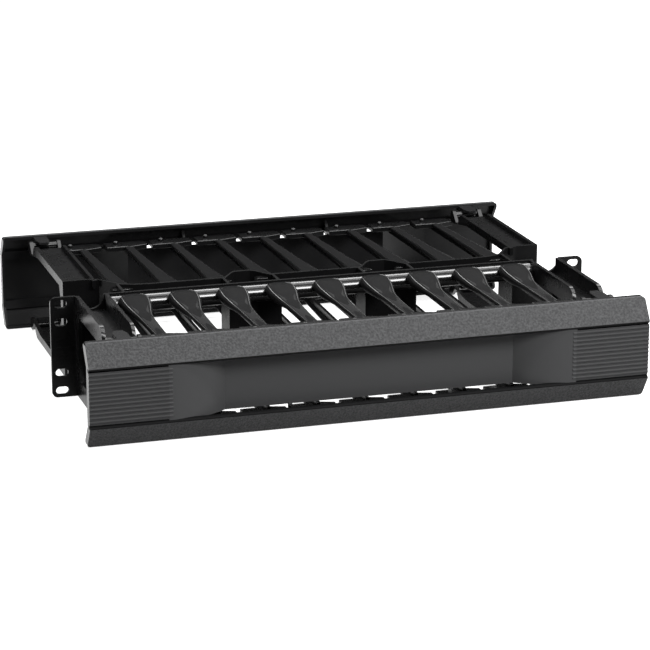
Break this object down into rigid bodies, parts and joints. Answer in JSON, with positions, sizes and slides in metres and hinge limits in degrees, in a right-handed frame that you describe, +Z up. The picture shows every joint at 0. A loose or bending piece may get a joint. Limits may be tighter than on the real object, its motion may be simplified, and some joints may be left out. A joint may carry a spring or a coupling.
{
  "type": "horizontal cable manager",
  "caption": "Double-sided horizontal cable manager for an equipment rack, with rows of cable fingers front and rear, pass-through windows and a hinged cover on each side.",
  "frame": {"origin": "centre of the plane where the ears' backs bolt to the rack's rails, midway up the panel", "axes": "+X along the panel to its right end seen from the front, +Y to the rear of the rack, +Z up"},
  "size_m": [0.4826, 0.3845, 0.0882],
  "materials": {
    "frame_plastic": "moulded black, satin gloss",
    "cover_plastic": "moulded charcoal, fine grain on the slanted bands",
    "screw_steel": "zinc-plated steel"
  },
  "bodies": {
    "frame": {"front_frame_upper": "frame_plastic", "front_frame_lower": "frame_plastic", "rear_frame_upper": "frame_plastic", "rear_frame_lower": "frame_plastic", "frame_screws": "screw_steel"},
    "front_cover": {"front_cover": "cover_plastic"},
    "rear_cover": {"rear_cover": "cover_plastic"}
  },
  "joints": [
    {"name": "front_cover_hinge", "type": "hinge", "parent": "frame", "child": "front_cover", "pos_m": [0, -0.122, 0.0375], "axis": [-1, 0, 0], "range_deg": [0, 120]},
    {"name": "rear_cover_hinge", "type": "hinge", "parent": "frame", "child": "rear_cover", "pos_m": [0, 0.1995, 0.0375], "axis": [1, 0, 0], "range_deg": [0, 120]}
  ]
}
